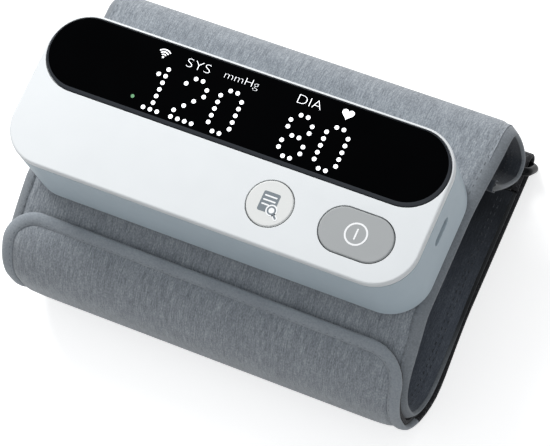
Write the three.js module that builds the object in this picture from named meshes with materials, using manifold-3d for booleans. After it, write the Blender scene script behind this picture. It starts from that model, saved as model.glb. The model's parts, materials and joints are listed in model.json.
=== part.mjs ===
// Upper-arm blood pressure monitor that sits on its own preformed cuff.
// Millimetres. +X runs along the arm, +Y to the back and +Z up. The origin is on the resting
// surface, under the middle of the object.
import * as THREE from 'three';
import { mergeVertices } from 'three/addons/utils/BufferGeometryUtils.js';
import Module from 'manifold-3d';

const wasm = await Module();
wasm.setup();

// ---- driving dimensions ----
const GAP = 0.3;                  // between pieces that touch
const TRAVEL = 0.8;               // of each push button

// Cuff band: a sandwich of sheets, listed from the outside in as [start, end] depths.
const CUFF_WIDTH = 145;
const CUFF_TOP = 52;              // outer face of the band under the monitor
const CUFF_FRONT = -50.1;         // outer face of the band's front bend
const BAND = { outer: [0, 0.7], sheet: [1.0, 1.4], bladder: [1.7, 2.5], lining: [2.8, 3.5] };
const BAND_DEPTH = BAND.lining[1];
const BINDING_WIDTH = 3.2;        // of the tape along each edge of the band
const FRONT_RADIUS = 18;
const SHOULDER_RADIUS = 18.8;
const SHOULDER_SLOPE = 29;        // degrees, from the level top down to the front
const BAND_END = 38;              // back end of the band's lower run
// The back end of the band rolls down and forward into a springy curl.
const CURL = { y: 39, topRadius: 8, backRadius: 60, bottomRadius: 6.5, sheetRadius: 54 };

// Tail: runs back from the band, round the ring, forward under the band and up its front.
const TAIL_WIDTH = 146;
const TAIL = { fabric: [0, 1.6], hook: [1.9, 3.1] };
const TAIL_DEPTH = TAIL.hook[1] + GAP;
const FLAP_ROOT = 60;             // degrees up the front bend where the flap starts to peel
const FLAP_CORNER = 13;
const FLAP_SLOPE = 7.3;           // length of the flap's end on the sloping shoulder

// Ring that the tail is pulled through.
const RING = { wire: 1.5, halfLength: 74.8, corner: 3.2, upper: [43.6, 13.6], lower: [49.4, 4.1] };

// Monitor
const FACE = { length: 143, depth: 54, corner: 14.3, y: -2, top: 83.5 };
const COVER_BOTTOM = 80.9;
const HOUSING_BOTTOM = CUFF_TOP + GAP;
const WALL = 2.2;
const FLOOR_TOP = HOUSING_BOTTOM + 1.8;
const TAPER = 0.5;                // the walls draw in by this much towards the base
const LENS = { y: 10.9, radius: 13, halfStraight: 57.3, bottom: 82.3, top: 83.8 };
const BUTTON_Y = -15.1;
const BUTTON_TOP = 83.7;
const MEMORY = { x: 20.7, radius: 7.64, halfStraight: 0 };
const POWER = { x: 50.4, radius: 7.66, halfStraight: 4.68 };
const MAIN_BOARD = [74.8, 76.0];
const DISPLAY_BOARD = [78.0, 79.2];
const DIGIT_PITCH = 12.36;
const DIGIT_COUNT = 6;
const DIGIT_Y = 8;
const PUMP = { y: 9.5, z: 67, radius: 10.5 };
const PORT = { x: 20, y: -18 };
const USB = { y: -1.6, z: 70.7, width: 9, height: 3.2 };
const SCREWS = [[-62.5, -20.5], [33.2, -22.8], [-62.5, 16.5], [62.5, 16.5]];
const STUD_X = 48;
const STUD_Y = [-8, 14];

// ---- colours ----
const COLOURS = {
  cover: [0xf1f4f6, 0.35, 0],
  housing: [0x93a5b1, 0.45, 0],
  lens: [0x06080a, 0.05, 0],
  button: [0xacb0b1, 0.5, 0],
  buttonLight: [0xeeefea, 0.5, 0],
  fabric: [0x737a82, 0.95, 0],
  binding: [0x858d95, 0.9, 0],
  lining: [0x222931, 0.95, 0],
  hook: [0x0b0d10, 0.9, 0],
  ring: [0x0a0b0d, 0.15, 0],
  plastic: [0x2b2f33, 0.6, 0],
  board: [0x1f5a3a, 0.5, 0],
  steel: [0xb8bcc0, 0.3, 1],
  rubber: [0xd8d8d4, 0.7, 0],
  led: [0xf5f7fa, 0.4, 0],
};

const assembly = new THREE.Group();

function add(name, geometry, look) {
  const [color, roughness, metalness] = COLOURS[look];
  const mesh = new THREE.Mesh(geometry, new THREE.MeshStandardMaterial({ color, roughness, metalness }));
  mesh.name = name;
  assembly.add(mesh);
}

// ---- solids ----
const rad = THREE.MathUtils.degToRad;

function toSolid(geometry) {
  const bare = geometry.clone();
  bare.deleteAttribute('normal');
  bare.deleteAttribute('uv');
  const merged = mergeVertices(bare, 1e-4);
  return new wasm.Manifold(new wasm.Mesh({
    numProp: 3,
    vertProperties: new Float32Array(merged.attributes.position.array),
    triVerts: new Uint32Array(merged.index.array),
  }));
}

function toGeometry(solid) {
  const mesh = solid.getMesh();
  const geometry = new THREE.BufferGeometry();
  geometry.setAttribute('position', new THREE.BufferAttribute(new Float32Array(mesh.vertProperties), 3));
  geometry.setIndex(new THREE.BufferAttribute(new Uint32Array(mesh.triVerts), 1));
  return geometry;
}

function join(first, ...others) {
  return toGeometry(others.reduce((solid, other) => solid.add(toSolid(other)), toSolid(first)));
}

function cut(first, ...others) {
  return toGeometry(others.reduce((solid, other) => solid.subtract(toSolid(other)), toSolid(first)));
}

function box(x, y, z) {
  const geometry = new THREE.BoxGeometry(x[1] - x[0], y[1] - y[0], z[1] - z[0]);
  return geometry.translate((x[0] + x[1]) / 2, (y[0] + y[1]) / 2, (z[0] + z[1]) / 2);
}

function rodZ(x, y, z, radius, sides = 12) {
  const geometry = new THREE.CylinderGeometry(radius, radius, z[1] - z[0], sides);
  return geometry.rotateX(Math.PI / 2).translate(x, y, (z[0] + z[1]) / 2);
}

function rodX(x, y, z, radius, sides = 20) {
  const geometry = new THREE.CylinderGeometry(radius, radius, x[1] - x[0], sides);
  return geometry.rotateZ(-Math.PI / 2).translate((x[0] + x[1]) / 2, y, z);
}

// Upright plate with the outline given, from z[0] to z[1]; the bevel rounds its top edge only.
function plate(outline, z, bevel = 0, curveSegments = 4) {
  const straight = { depth: z[1] - bevel - z[0], bevelEnabled: false, curveSegments };
  const geometry = new THREE.ExtrudeGeometry(outline, straight).translate(0, 0, z[0]);
  if (bevel === 0) {
    return geometry;
  }
  const rounded = {
    depth: z[1] - z[0] - 2 * bevel, bevelThickness: bevel, bevelSize: bevel, bevelOffset: -bevel,
    bevelSegments: 1, curveSegments,
  };
  const cap = new THREE.ExtrudeGeometry(outline, rounded).translate(0, 0, z[0] + bevel);
  return join(geometry, cap);
}

function roundedRectangle(x, y, width, depth, radius) {
  const right = x + width / 2 - radius;
  const left = x - width / 2 + radius;
  const back = y + depth / 2 - radius;
  const front = y - depth / 2 + radius;
  const shape = new THREE.Shape();
  shape.absarc(right, back, radius, 0, rad(90));
  shape.absarc(left, back, radius, rad(90), rad(180));
  shape.absarc(left, front, radius, rad(180), rad(270));
  shape.absarc(right, front, radius, rad(270), rad(360));
  shape.closePath();
  return shape;
}

function stadium(x, y, halfStraight, radius) {
  const shape = new THREE.Shape();
  if (halfStraight === 0) {
    shape.absarc(x, y, radius, 0, rad(360));
    return shape;
  }
  shape.absarc(x + halfStraight, y, radius, rad(-90), rad(90));
  shape.absarc(x - halfStraight, y, radius, rad(90), rad(270));
  shape.closePath();
  return shape;
}

function tube(points, radius, sides, steps) {
  const section = new THREE.Shape();
  section.absarc(0, 0, radius, 0, rad(360));
  const extrudePath = new THREE.CatmullRomCurve3(points.map((point) => new THREE.Vector3(...point)));
  return new THREE.ExtrudeGeometry(section, { steps, extrudePath, curveSegments: sides });
}

// ---- fabric paths in the YZ plane ----
// A path is drawn with straight runs and arcs; a positive turn is to the left. Each point keeps its
// heading and its distance s along the path, so sheets can be laid beside it at any depth.
class FabricPath {
  constructor(y, z, heading) {
    this.points = [{ y, z, heading, s: 0 }];
  }

  get end() {
    return this.points[this.points.length - 1];
  }

  line(length) {
    const { y, z, heading, s } = this.end;
    const angle = rad(heading);
    this.points.push({ y: y + length * Math.cos(angle), z: z + length * Math.sin(angle), heading, s: s + length });
    return this;
  }

  arc(radius, turn, step = 7.5) {
    const { y, z, heading, s } = this.end;
    const side = Math.sign(turn);
    const centreY = y - side * radius * Math.sin(rad(heading));
    const centreZ = z + side * radius * Math.cos(rad(heading));
    const count = Math.ceil(Math.abs(turn) / step);
    for (let i = 1; i <= count; i += 1) {
      const now = heading + (turn * i) / count;
      this.points.push({
        y: centreY + side * radius * Math.sin(rad(now)),
        z: centreZ - side * radius * Math.cos(rad(now)),
        heading: now,
        s: s + (rad(Math.abs(turn)) * radius * i) / count,
      });
    }
    return this;
  }

  // Moves everything drawn so far, so that the path's end lies at the place given.
  endAt(y, z) {
    const [dy, dz] = [y - this.end.y, z - this.end.z];
    this.points = this.points.map((point) => ({ ...point, y: point.y + dy, z: point.z + dz }));
    return this;
  }

  at(s) {
    const i = Math.max(1, this.points.findIndex((point) => point.s >= s - 1e-6));
    const [a, b] = [this.points[i - 1], this.points[i]];
    const t = (s - a.s) / (b.s - a.s);
    const mix = (key) => a[key] + (b[key] - a[key]) * t;
    return { y: mix('y'), z: mix('z'), heading: mix('heading'), s };
  }

  between(from, to, extra = []) {
    const inside = this.points.filter((point) => point.s > from + 0.05 && point.s < to - 0.05);
    const all = [this.at(from), ...inside, ...extra.map((s) => this.at(s)), this.at(to)];
    return all.sort((a, b) => a.s - b.s);
  }
}

// Sheet beside a path: depths are measured to one side of it (+1 left, -1 right), and
// edges(s) gives the sheet's low and high X at each place.
function sheet(stations, side, [near, far], edges) {
  const positions = [];
  const index = [];
  for (const { y, z, heading, s } of stations) {
    const normal = [-side * Math.sin(rad(heading)), side * Math.cos(rad(heading))];
    const [low, high] = edges(s);
    for (const [x, depth] of [[low, near], [high, near], [high, far], [low, far]]) {
      positions.push(x, y + depth * normal[0], z + depth * normal[1]);
    }
  }
  const quad = (a, b, c, d) => (side < 0 ? index.push(a, b, c, a, c, d) : index.push(a, c, b, a, d, c));
  const last = stations.length - 1;
  for (let i = 0; i < last; i += 1) {
    for (let k = 0; k < 4; k += 1) {
      const next = (k + 1) % 4;
      quad(4 * i + k, 4 * i + next, 4 * i + 4 + next, 4 * i + 4 + k);
    }
  }
  quad(3, 2, 1, 0);
  quad(4 * last, 4 * last + 1, 4 * last + 2, 4 * last + 3);
  const geometry = new THREE.BufferGeometry();
  geometry.setAttribute('position', new THREE.BufferAttribute(new Float32Array(positions), 3));
  geometry.setIndex(index);
  return geometry;
}

const straightEdges = (halfWidth) => () => [-halfWidth, halfWidth];

// The band starts at the inner end of its curl, inside the arm opening at the back.
const band = new FabricPath(0, 0, -78);
band.arc(CURL.sheetRadius, 28, 5.6);
band.arc(CURL.bottomRadius, 130, 8.5);
band.arc(CURL.backRadius, 20, 5);
band.arc(CURL.topRadius, 80, 8);
band.endAt(CURL.y, CUFF_TOP);
const slopeStart = CUFF_FRONT + SHOULDER_RADIUS * (1 - Math.sin(rad(SHOULDER_SLOPE)));
const slopeLength = 15.9;
const easeRadius = 12;
const topFront = slopeStart + slopeLength * Math.cos(rad(SHOULDER_SLOPE)) + easeRadius * Math.sin(rad(SHOULDER_SLOPE));
band.line(CURL.y - topFront);
const frontOfTop = band.end;
band.arc(easeRadius, SHOULDER_SLOPE);
band.line(slopeLength);
band.arc(SHOULDER_RADIUS, 90 - SHOULDER_SLOPE);
const frontHeight = band.end.z - FRONT_RADIUS - TAIL_DEPTH;
band.line(frontHeight);
band.arc(FRONT_RADIUS, 90);
const startOfBottom = band.end;
band.line(BAND_END - startOfBottom.y);
const bandLength = band.end.s;

// The tail starts at the band's lower end.
const WRAP = RING.wire + 1.0 + TAIL.fabric[1];      // outer radius of the fold round the ring
const tailRise = 10;
const tailTop = [
  RING.lower[0] - WRAP * Math.sin(rad(tailRise)),
  RING.lower[1] + WRAP * Math.cos(rad(tailRise)),
];
const tailRun = 10.4;
const tail = new FabricPath(
  tailTop[0] - tailRun * Math.cos(rad(tailRise)), tailTop[1] - tailRun * Math.sin(rad(tailRise)), tailRise,
);
tail.line(tailRun);
tail.arc(WRAP, -(180 + tailRise), 15);
tail.line(tail.end.y - startOfBottom.y);
const frontWrap = FRONT_RADIUS + TAIL_DEPTH;
tail.arc(frontWrap, -FLAP_ROOT);
const flapRoot = tail.end;
tail.arc(frontWrap, -(90 - FLAP_ROOT));
tail.line(frontHeight);
tail.arc(SHOULDER_RADIUS + TAIL_DEPTH, -(90 - SHOULDER_SLOPE));
tail.line(FLAP_SLOPE);
const flapEnd = tail.end.s;

// ---- cuff ----
function bandSheet(depths, from, to, halfWidth) {
  return sheet(band.between(from, to), 1, depths, straightEdges(halfWidth));
}

function makeCuff() {
  const halfWidth = CUFF_WIDTH / 2;
  const inner = halfWidth - BINDING_WIDTH - GAP;
  const studs = (radius) => [-STUD_X, STUD_X].flatMap((x) => STUD_Y.map((y) => rodZ(x, y, [48, 60], radius, 10)));
  const port = (radius) => rodZ(PORT.x, PORT.y, [49.9, 60], radius, 12);

  const outer = bandSheet(BAND.outer, 0, bandLength, inner);
  add('cuff_outer_fabric', cut(outer, ...studs(1.6), port(2.6)), 'fabric');
  const stiff = bandSheet(BAND.sheet, 4, frontOfTop.s + 60, inner - 2);
  add('shaping_sheet', cut(stiff, ...studs(1.6), port(2.6)), 'plastic');
  const bladderStart = frontOfTop.s - 8;
  add('air_bladder', bandSheet(BAND.bladder, bladderStart, bandLength - 6, inner - 4), 'rubber');
  add('cuff_lining', bandSheet(BAND.lining, 0, bandLength, inner), 'lining');
  for (const [name, side] of [['edge_binding_left', -1], ['edge_binding_right', 1]]) {
    const edges = [side * (halfWidth - BINDING_WIDTH), side * halfWidth].sort((a, b) => a - b);
    add(name, sheet(band.between(0, bandLength), 1, [0, BAND_DEPTH], () => edges), 'binding');
  }

  const plateTop = CUFF_TOP - BAND.bladder[0];
  const backing = plate(roundedRectangle(0, 4.5, 108, 28, 6), [CUFF_TOP - BAND.bladder[1], plateTop], 0, 3);
  const posts = [-STUD_X, STUD_X].flatMap((x) => STUD_Y.map((y) => rodZ(x, y, [plateTop - 0.4, 54.7], 1.2, 10)));
  add('mounting_plate', join(backing, ...posts), 'plastic');

  const flange = rodZ(PORT.x, PORT.y, [plateTop + GAP, 60], 2.2, 12);
  const bore = rodZ(PORT.x, PORT.y, [49, 61], 1.2, 8);
  add('bladder_port', cut(flange, bore), 'rubber');
}

// Flap outline: full width up to its rounded corners at the free end.
function flapEdges(inset) {
  const half = TAIL_WIDTH / 2 - inset;
  const radius = FLAP_CORNER - inset;
  const end = flapEnd - inset;
  return (s) => {
    const past = Math.min(radius, Math.max(0, s - (end - radius)));
    const lost = radius - Math.sqrt(Math.max(0, radius * radius - past * past));
    return [-half + lost, half - lost];
  };
}

function flapStations(inset) {
  const radius = FLAP_CORNER - inset;
  const end = flapEnd - inset;
  const round = [15, 30, 45, 60, 75].map((angle) => end - radius + radius * Math.sin(rad(angle)));
  return tail.between(flapRoot.s + 2 * GAP, end, [end - radius, ...round]);
}

function makeTail() {
  const half = TAIL_WIDTH / 2;
  add('tail_strip', sheet(tail.between(0, flapRoot.s), -1, TAIL.fabric, straightEdges(half)), 'fabric');
  const hookFrom = tailRun + 40;
  const hook = sheet(tail.between(hookFrom, flapRoot.s), -1, TAIL.hook, straightEdges(half - 4));
  add('tail_hook_strip', hook, 'hook');

  const bindingInset = 4.2;
  const whole = sheet(flapStations(0), -1, TAIL.fabric, flapEdges(0));
  const window = sheet(tail.between(flapRoot.s, flapEnd - bindingInset, flapStations(bindingInset).map(({ s }) => s)
    .filter((s) => s > flapRoot.s + 1 && s < flapEnd - bindingInset - 0.1)), -1, [-1, 4], flapEdges(bindingInset));
  add('flap_binding', cut(whole, window), 'binding');
  add('flap_panel', sheet(flapStations(bindingInset + GAP), -1, TAIL.fabric, flapEdges(bindingInset + GAP)), 'fabric');
  add('flap_hook_strip', sheet(flapStations(bindingInset), -1, TAIL.hook, flapEdges(bindingInset)), 'hook');
}

// Closed loop of round wire in the tilted plane through the ring's two long bars.
function makeRing() {
  const sides = 8;
  const [lowY, lowZ] = RING.lower;
  const [highY, highZ] = RING.upper;
  const width = Math.hypot(highY - lowY, highZ - lowZ);
  const across = [(highY - lowY) / width, (highZ - lowZ) / width];
  const centre = [(highY + lowY) / 2, (highZ + lowZ) / 2];
  const outline = roundedRectangle(0, 0, 2 * RING.halfLength, width, RING.corner).getPoints(5);
  outline.pop();
  const positions = [];
  outline.forEach((point, i) => {
    const before = outline[(i + outline.length - 1) % outline.length];
    const after = outline[(i + 1) % outline.length];
    const along = after.clone().sub(before).normalize();
    for (let k = 0; k < sides; k += 1) {
      const angle = rad((360 * k) / sides);
      const out = RING.wire * Math.cos(angle);
      const up = RING.wire * Math.sin(angle);
      const x = point.x + out * along.y;
      const v = point.y - out * along.x;
      positions.push(x, centre[0] + v * across[0] - up * across[1], centre[1] + v * across[1] + up * across[0]);
    }
  });
  const index = [];
  for (let i = 0; i < outline.length; i += 1) {
    const j = (i + 1) % outline.length;
    for (let k = 0; k < sides; k += 1) {
      const next = (k + 1) % sides;
      const [a, b, c, d] = [i * sides + k, i * sides + next, j * sides + next, j * sides + k];
      index.push(a, c, b, a, d, c);
    }
  }
  const geometry = new THREE.BufferGeometry();
  geometry.setAttribute('position', new THREE.BufferAttribute(new Float32Array(positions), 3));
  geometry.setIndex(index);
  add('d_ring', geometry, 'ring');

  // Fabric tab that hangs from the curl and holds the ring's upper bar.
  const reach = [-62, 62];
  const loop = rodX(reach, highY, highZ, RING.wire + GAP + 0.9, 16);
  const curlBottom = Math.min(...band.points.filter(({ s }) => s < 60).map(({ z }) => z));
  const stem = box(reach, [highY - 0.9, highY + 0.9], [highZ + 1, curlBottom - GAP]);
  const eye = rodX([-63, 63], highY, highZ, RING.wire + GAP, 16);
  add('d_ring_sleeve', cut(join(loop, stem), eye), 'binding');
}

// ---- monitor ----
const faceOutline = (inset) => roundedRectangle(
  0, FACE.y, FACE.length - 2 * inset, FACE.depth - 2 * inset, FACE.corner - inset,
);

function drawIn(geometry) {
  const position = geometry.attributes.position;
  for (let i = 0; i < position.count; i += 1) {
    const share = (COVER_BOTTOM - position.getZ(i)) / (COVER_BOTTOM - HOUSING_BOTTOM);
    position.setX(i, position.getX(i) * (1 - (share * TAPER) / (FACE.length / 2)));
    const fromMiddle = position.getY(i) - FACE.y;
    position.setY(i, FACE.y + fromMiddle * (1 - (share * TAPER) / (FACE.depth / 2)));
  }
  return geometry;
}

function makeHousing() {
  const rim = COVER_BOTTOM - GAP;
  const shell = drawIn(plate(faceOutline(0), [HOUSING_BOTTOM, rim]));
  const cavity = plate(faceOutline(WALL + TAPER), [FLOOR_TOP, rim + 1]);
  const posts = SCREWS.map(([x, y]) => rodZ(x, y, [FLOOR_TOP - 1, 69.7], 3, 14));
  const pads = [-STUD_X, STUD_X].flatMap((x) => STUD_Y.map((y) => rodZ(x, y, [FLOOR_TOP - 1, 55.4], 3, 12)));
  const holes = [
    ...SCREWS.map(([x, y]) => rodZ(x, y, [50, 71], 1.5, 10)),
    ...SCREWS.map(([x, y]) => rodZ(x, y, [50, 55.5], 2.6, 12)),
    ...[-STUD_X, STUD_X].flatMap((x) => STUD_Y.map((y) => rodZ(x, y, [50, 55], 1.5, 10))),
    rodZ(PORT.x, PORT.y, [50, 56], 2.5, 12),
    plate(stadium(0, 0, (USB.width - USB.height) / 2 + 0.1, USB.height / 2 + GAP), [66, 75], 0, 4)
      .rotateY(Math.PI / 2).rotateX(Math.PI / 2).translate(0, USB.y, USB.z),
  ];
  const hollow = toSolid(shell).subtract(toSolid(cavity));
  const built = [...posts, ...pads].reduce((solid, piece) => solid.add(toSolid(piece)), hollow);
  add('base_housing', toGeometry(holes.reduce((solid, hole) => solid.subtract(toSolid(hole)), built)), 'housing');
  SCREWS.forEach(([x, y], i) => {
    const head = rodZ(x, y, [53, 55.1], 2.3, 12);
    const shank = rodZ(x, y, [54.5, 76], 1.2, 8);
    add(`housing_screw_${i + 1}`, join(head, shank), 'steel');
  });
}

function makeCover() {
  const top = plate(faceOutline(0), [COVER_BOTTOM, FACE.top], 0.6);
  const lip = cut(
    plate(faceOutline(WALL + TAPER + GAP), [79.4, COVER_BOTTOM + 0.4]),
    plate(faceOutline(WALL + TAPER + GAP + 1.2), [79, COVER_BOTTOM]),
  );
  const bosses = SCREWS.map(([x, y]) => rodZ(x, y, [70, COVER_BOTTOM + 0.4], 2.8, 14));
  const pocket = plate(stadium(0, LENS.y, LENS.halfStraight, LENS.radius + GAP), [LENS.bottom - GAP, 90], 0, 9);
  const window = plate(roundedRectangle(0, 10.35, 84, 23.4, 2), [78, 90], 0, 3);
  const pilots = SCREWS.map(([x, y]) => rodZ(x, y, [69, 77], 1.5, 8));
  const buttonHoles = [MEMORY, POWER].map((button) => (
    plate(stadium(button.x, BUTTON_Y, button.halfStraight, button.radius + GAP), [78, 90], 0, 8)
  ));
  add('top_cover', cut(join(top, lip, ...bosses), pocket, window, ...pilots, ...buttonHoles), 'cover');
  const glass = stadium(0, LENS.y, LENS.halfStraight, LENS.radius);
  add('display_lens', plate(glass, [LENS.bottom, LENS.top], 0.4, 9), 'lens');
}

function makeButtons() {
  const kinds = [['memory', MEMORY, 'buttonLight'], ['power', POWER, 'button']];
  for (const [name, button, look] of kinds) {
    const outline = stadium(button.x, BUTTON_Y, button.halfStraight, button.radius);
    const rim = stadium(button.x, BUTTON_Y, button.halfStraight, button.radius + 1);
    const cap = plate(outline, [79.8, BUTTON_TOP], 0.4, 8);
    const flange = plate(rim, [79.8, COVER_BOTTOM - GAP], 0, 8);
    const stem = rodZ(button.x, BUTTON_Y, [79, 80], 1.5, 12);
    add(`${name}_button`, join(cap, flange, stem), look);
    const half = 3;
    const body = box([button.x - half, button.x + half], [BUTTON_Y - half, BUTTON_Y + half], [76.3, 77.4]);
    const dome = rodZ(button.x, BUTTON_Y, [77, 79 - TRAVEL - GAP], 1.7, 12);
    add(`${name}_switch`, join(body, dome), 'plastic');
  }
}

function makeDisplay() {
  add('display_board', box([-56, 56], [-3, 22.3], DISPLAY_BOARD), 'board');
  const ledBottom = DISPLAY_BOARD[1] + GAP;
  for (let i = 0; i < DIGIT_COUNT; i += 1) {
    const x = 0.75 + (i - (DIGIT_COUNT - 1) / 2) * DIGIT_PITCH;
    const tile = box([x - 5.8, x + 5.8], [DIGIT_Y - 8.9, DIGIT_Y + 8.9], [ledBottom, 81.7]);
    add(`led_module_${i + 1}`, tile, 'plastic');
  }
  const lights = [['status_led', -37.6, 3], ['pulse_led', 32, 19.6]];
  for (const [name, x, y] of lights) {
    add(name, box([x - 1, x + 1], [y - 1, y + 1], [ledBottom, 80.6]), 'led');
  }
}

function makePump() {
  const { y, z, radius } = PUMP;
  const motor = rodX([-58, -28], y, z, radius, 28);
  const collar = rodX([-60, -57], y, z, 3.5, 16);
  add('pump_motor', join(motor, collar), 'steel');
  const block = plate(roundedRectangle(0, 0, 21, 21, 4), [-27.7, -9], 0, 4)
    .rotateY(Math.PI / 2).translate(0, y, z);
  const nozzle = rodX([-10, -4], y, z, 1.8, 12);
  const chamber = rodX([-30, -18], y, z, 8, 20);
  const outlet = rodX([-19, -3], y, z, 0.9, 8);
  add('pump_head', cut(join(block, nozzle), chamber, outlet), 'plastic');
  const shaft = rodX([-27.4, -23.5], y, z, 1, 12);
  const eccentric = rodX([-24, -20.5], y, z + 1.2, 5, 20);
  add('pump_crank', join(shaft, eccentric), 'steel');
  const saddle = box([-42, -12], [y - 7.5, y + 7.5], [FLOOR_TOP + GAP, 62]);
  const seat = rodX([-43, -27.2], y, z, radius + GAP, 28);
  const headSeat = box([-28.2, -11], [y - 11, y + 11], [z - 10.5 - GAP, 70]);
  add('pump_cradle', cut(saddle, seat, headSeat), 'rubber');
}

function makeAirPath() {
  const { y, z } = PUMP;
  const block = box([-3.7, 1.4], [y - 5, y + 5], [58, 71]);
  add('air_manifold', cut(block, rodX([-5, -1], y, z, 0.9, 8), rodZ(-1, y, [57, 68], 0.9, 8)), 'plastic');

  const valveX = [1.7, 18];
  const valve = box(valveX, [y - 6, y + 6], [56, 68]);
  const valveBore = rodX([10, 19], y, 62, 2.3, 14);
  add('valve_body', cut(valve, valveBore), 'plastic');
  add('valve_plunger', join(rodX([11.2, 20.4], y, 62, 2, 14), rodX([20, 21.2], y, 62, 3, 14)), 'steel');

  const airRoute = [[-1, 3.9, 60], [0, 0, 60], [7, -3.4, 59.6], [15, -6.5, 60], [19, -11, 63], [20, -16.5, 64.4],
    [20, -18, 63], [20, -18, 60.3]];
  add('air_tube', tube(airRoute, 1.9, 4, 24), 'rubber');

  const chip = box([41, 48], [-18, -11], [71.3, 74.5]);
  const spout = rodZ(44.5, -14.5, [68.5, 72], 1.3, 10);
  add('pressure_sensor', join(chip, spout), 'plastic');
  const sensorRoute = [[-1, 3.7, 68.5], [-0.8, 1.5, 68.7], [10, -2, 70], [24, -4, 69], [36, -8, 65], [43, -13, 63.6],
    [44.5, -14.5, 65.5], [44.5, -14.5, 68.2]];
  add('sensor_tube', tube(sensorRoute, 1.5, 4, 28), 'rubber');
}

function makeElectronics() {
  const notch = rodZ(...SCREWS[1], [70, 80], 3.2, 14);
  add('main_board', cut(box([6, 58], [-26, -5], MAIN_BOARD), notch), 'board');
  add('battery_cell', rodX([-56, 9], -15.5, 65, 9.1, 28), 'plastic');
  add('usb_board', box([52, 68.3], [USB.y - 6.4, USB.y + 6.4], [67.6, 68.8]), 'board');
  const bottom = USB.z - USB.height / 2;
  const width = [USB.y - USB.width / 2, USB.y + USB.width / 2];
  const can = box([60.8, 68.6], width, [bottom, bottom + USB.height]);
  const mouth = box([62, 70], [width[0] + 0.4, width[1] - 0.4], [bottom + 0.4, bottom + USB.height - 0.4]);
  const tongue = box([61.5, 67.6], [width[0] + 1.4, width[1] - 1.4], [USB.z - 0.35, USB.z + 0.35]);
  add('usb_socket', join(cut(can, mouth), tongue), 'steel');
}

makeHousing();
makeCover();
makeButtons();
makeDisplay();
makeElectronics();
makePump();
makeAirPath();
makeCuff();
makeTail();
makeRing();

export default assembly;
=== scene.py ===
import json
from math import ceil, cos, hypot, radians, sin, sqrt, tau

import bmesh
import bpy
import numpy as np
from mathutils import Matrix, Vector


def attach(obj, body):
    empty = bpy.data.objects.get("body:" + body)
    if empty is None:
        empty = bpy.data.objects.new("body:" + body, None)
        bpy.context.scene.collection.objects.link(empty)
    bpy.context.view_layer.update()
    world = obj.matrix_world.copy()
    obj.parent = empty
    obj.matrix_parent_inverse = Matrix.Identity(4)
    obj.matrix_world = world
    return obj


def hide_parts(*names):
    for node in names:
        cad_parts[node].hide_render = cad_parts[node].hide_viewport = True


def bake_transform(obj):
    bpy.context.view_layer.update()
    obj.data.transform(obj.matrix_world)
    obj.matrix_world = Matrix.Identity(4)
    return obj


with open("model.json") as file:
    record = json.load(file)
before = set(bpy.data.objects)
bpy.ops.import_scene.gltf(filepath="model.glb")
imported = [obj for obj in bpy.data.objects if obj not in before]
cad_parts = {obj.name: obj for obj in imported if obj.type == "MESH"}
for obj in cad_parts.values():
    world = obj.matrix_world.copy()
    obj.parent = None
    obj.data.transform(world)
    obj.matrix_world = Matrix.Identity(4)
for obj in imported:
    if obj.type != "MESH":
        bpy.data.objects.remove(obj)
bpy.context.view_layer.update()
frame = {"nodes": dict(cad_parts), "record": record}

# Looks of an upper-arm blood pressure monitor that sits on its own cuff. Lengths in this script are
# millimetres, like part.mjs; meshes are scaled to metres as they are made.
MM = 0.001
ROOT = "cuff_and_monitor"


def add_object(name, data):
    made = bpy.data.objects.new(name, data)
    bpy.context.scene.collection.objects.link(made)
    return made


# ---- camera, floor and light ----
CAMERA_AT = (0.29893, -0.23029, 0.87363)
CAMERA_RIGHT = (0.89228, 0.40368, -0.20218)
CAMERA_UP = (-0.32071, 0.88192, 0.34550)
CAMERA_BACK = (0.31777, -0.24345, 0.91638)
LENS_LENGTH = 182.72              # for a 36 mm sensor


def make_camera():
    data = bpy.data.cameras.new("camera")
    data.lens = LENS_LENGTH
    data.sensor_width = 36
    data.clip_start, data.clip_end = 0.05, 20
    camera = add_object("camera", data)
    turn = Matrix((CAMERA_RIGHT, CAMERA_UP, CAMERA_BACK)).transposed().to_4x4()
    camera.matrix_world = Matrix.Translation(CAMERA_AT) @ turn
    bpy.context.scene.camera = camera


def make_light(name, at, size, power, colour=(1, 1, 1)):
    data = bpy.data.lights.new(name, "AREA")
    data.shape = "RECTANGLE"
    data.size, data.size_y = size
    data.energy = power
    data.color = colour
    light = add_object(name, data)
    aim = Vector((0, 0, 0.04)) - Vector(at)
    light.matrix_world = Matrix.Translation(at) @ aim.to_track_quat("-Z", "Y").to_matrix().to_4x4()


def make_sky():
    """Soft overhead light that falls off towards the horizon."""
    world = bpy.data.worlds.new("studio")
    world.use_nodes = True
    nodes, links = world.node_tree.nodes, world.node_tree.links
    direction = nodes.new("ShaderNodeTexCoord")
    parts = nodes.new("ShaderNodeSeparateXYZ")
    height = nodes.new("ShaderNodeMapRange")
    links.new(direction.outputs["Generated"], parts.inputs[0])
    links.new(parts.outputs["Z"], height.inputs["Value"])
    height.inputs["To Min"].default_value = 0.22
    height.inputs["To Max"].default_value = 0.74
    sky = nodes["Background"]
    sky.inputs["Color"].default_value = (0.97, 0.985, 1, 1)
    links.new(height.outputs["Result"], sky.inputs["Strength"])
    return world


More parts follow.
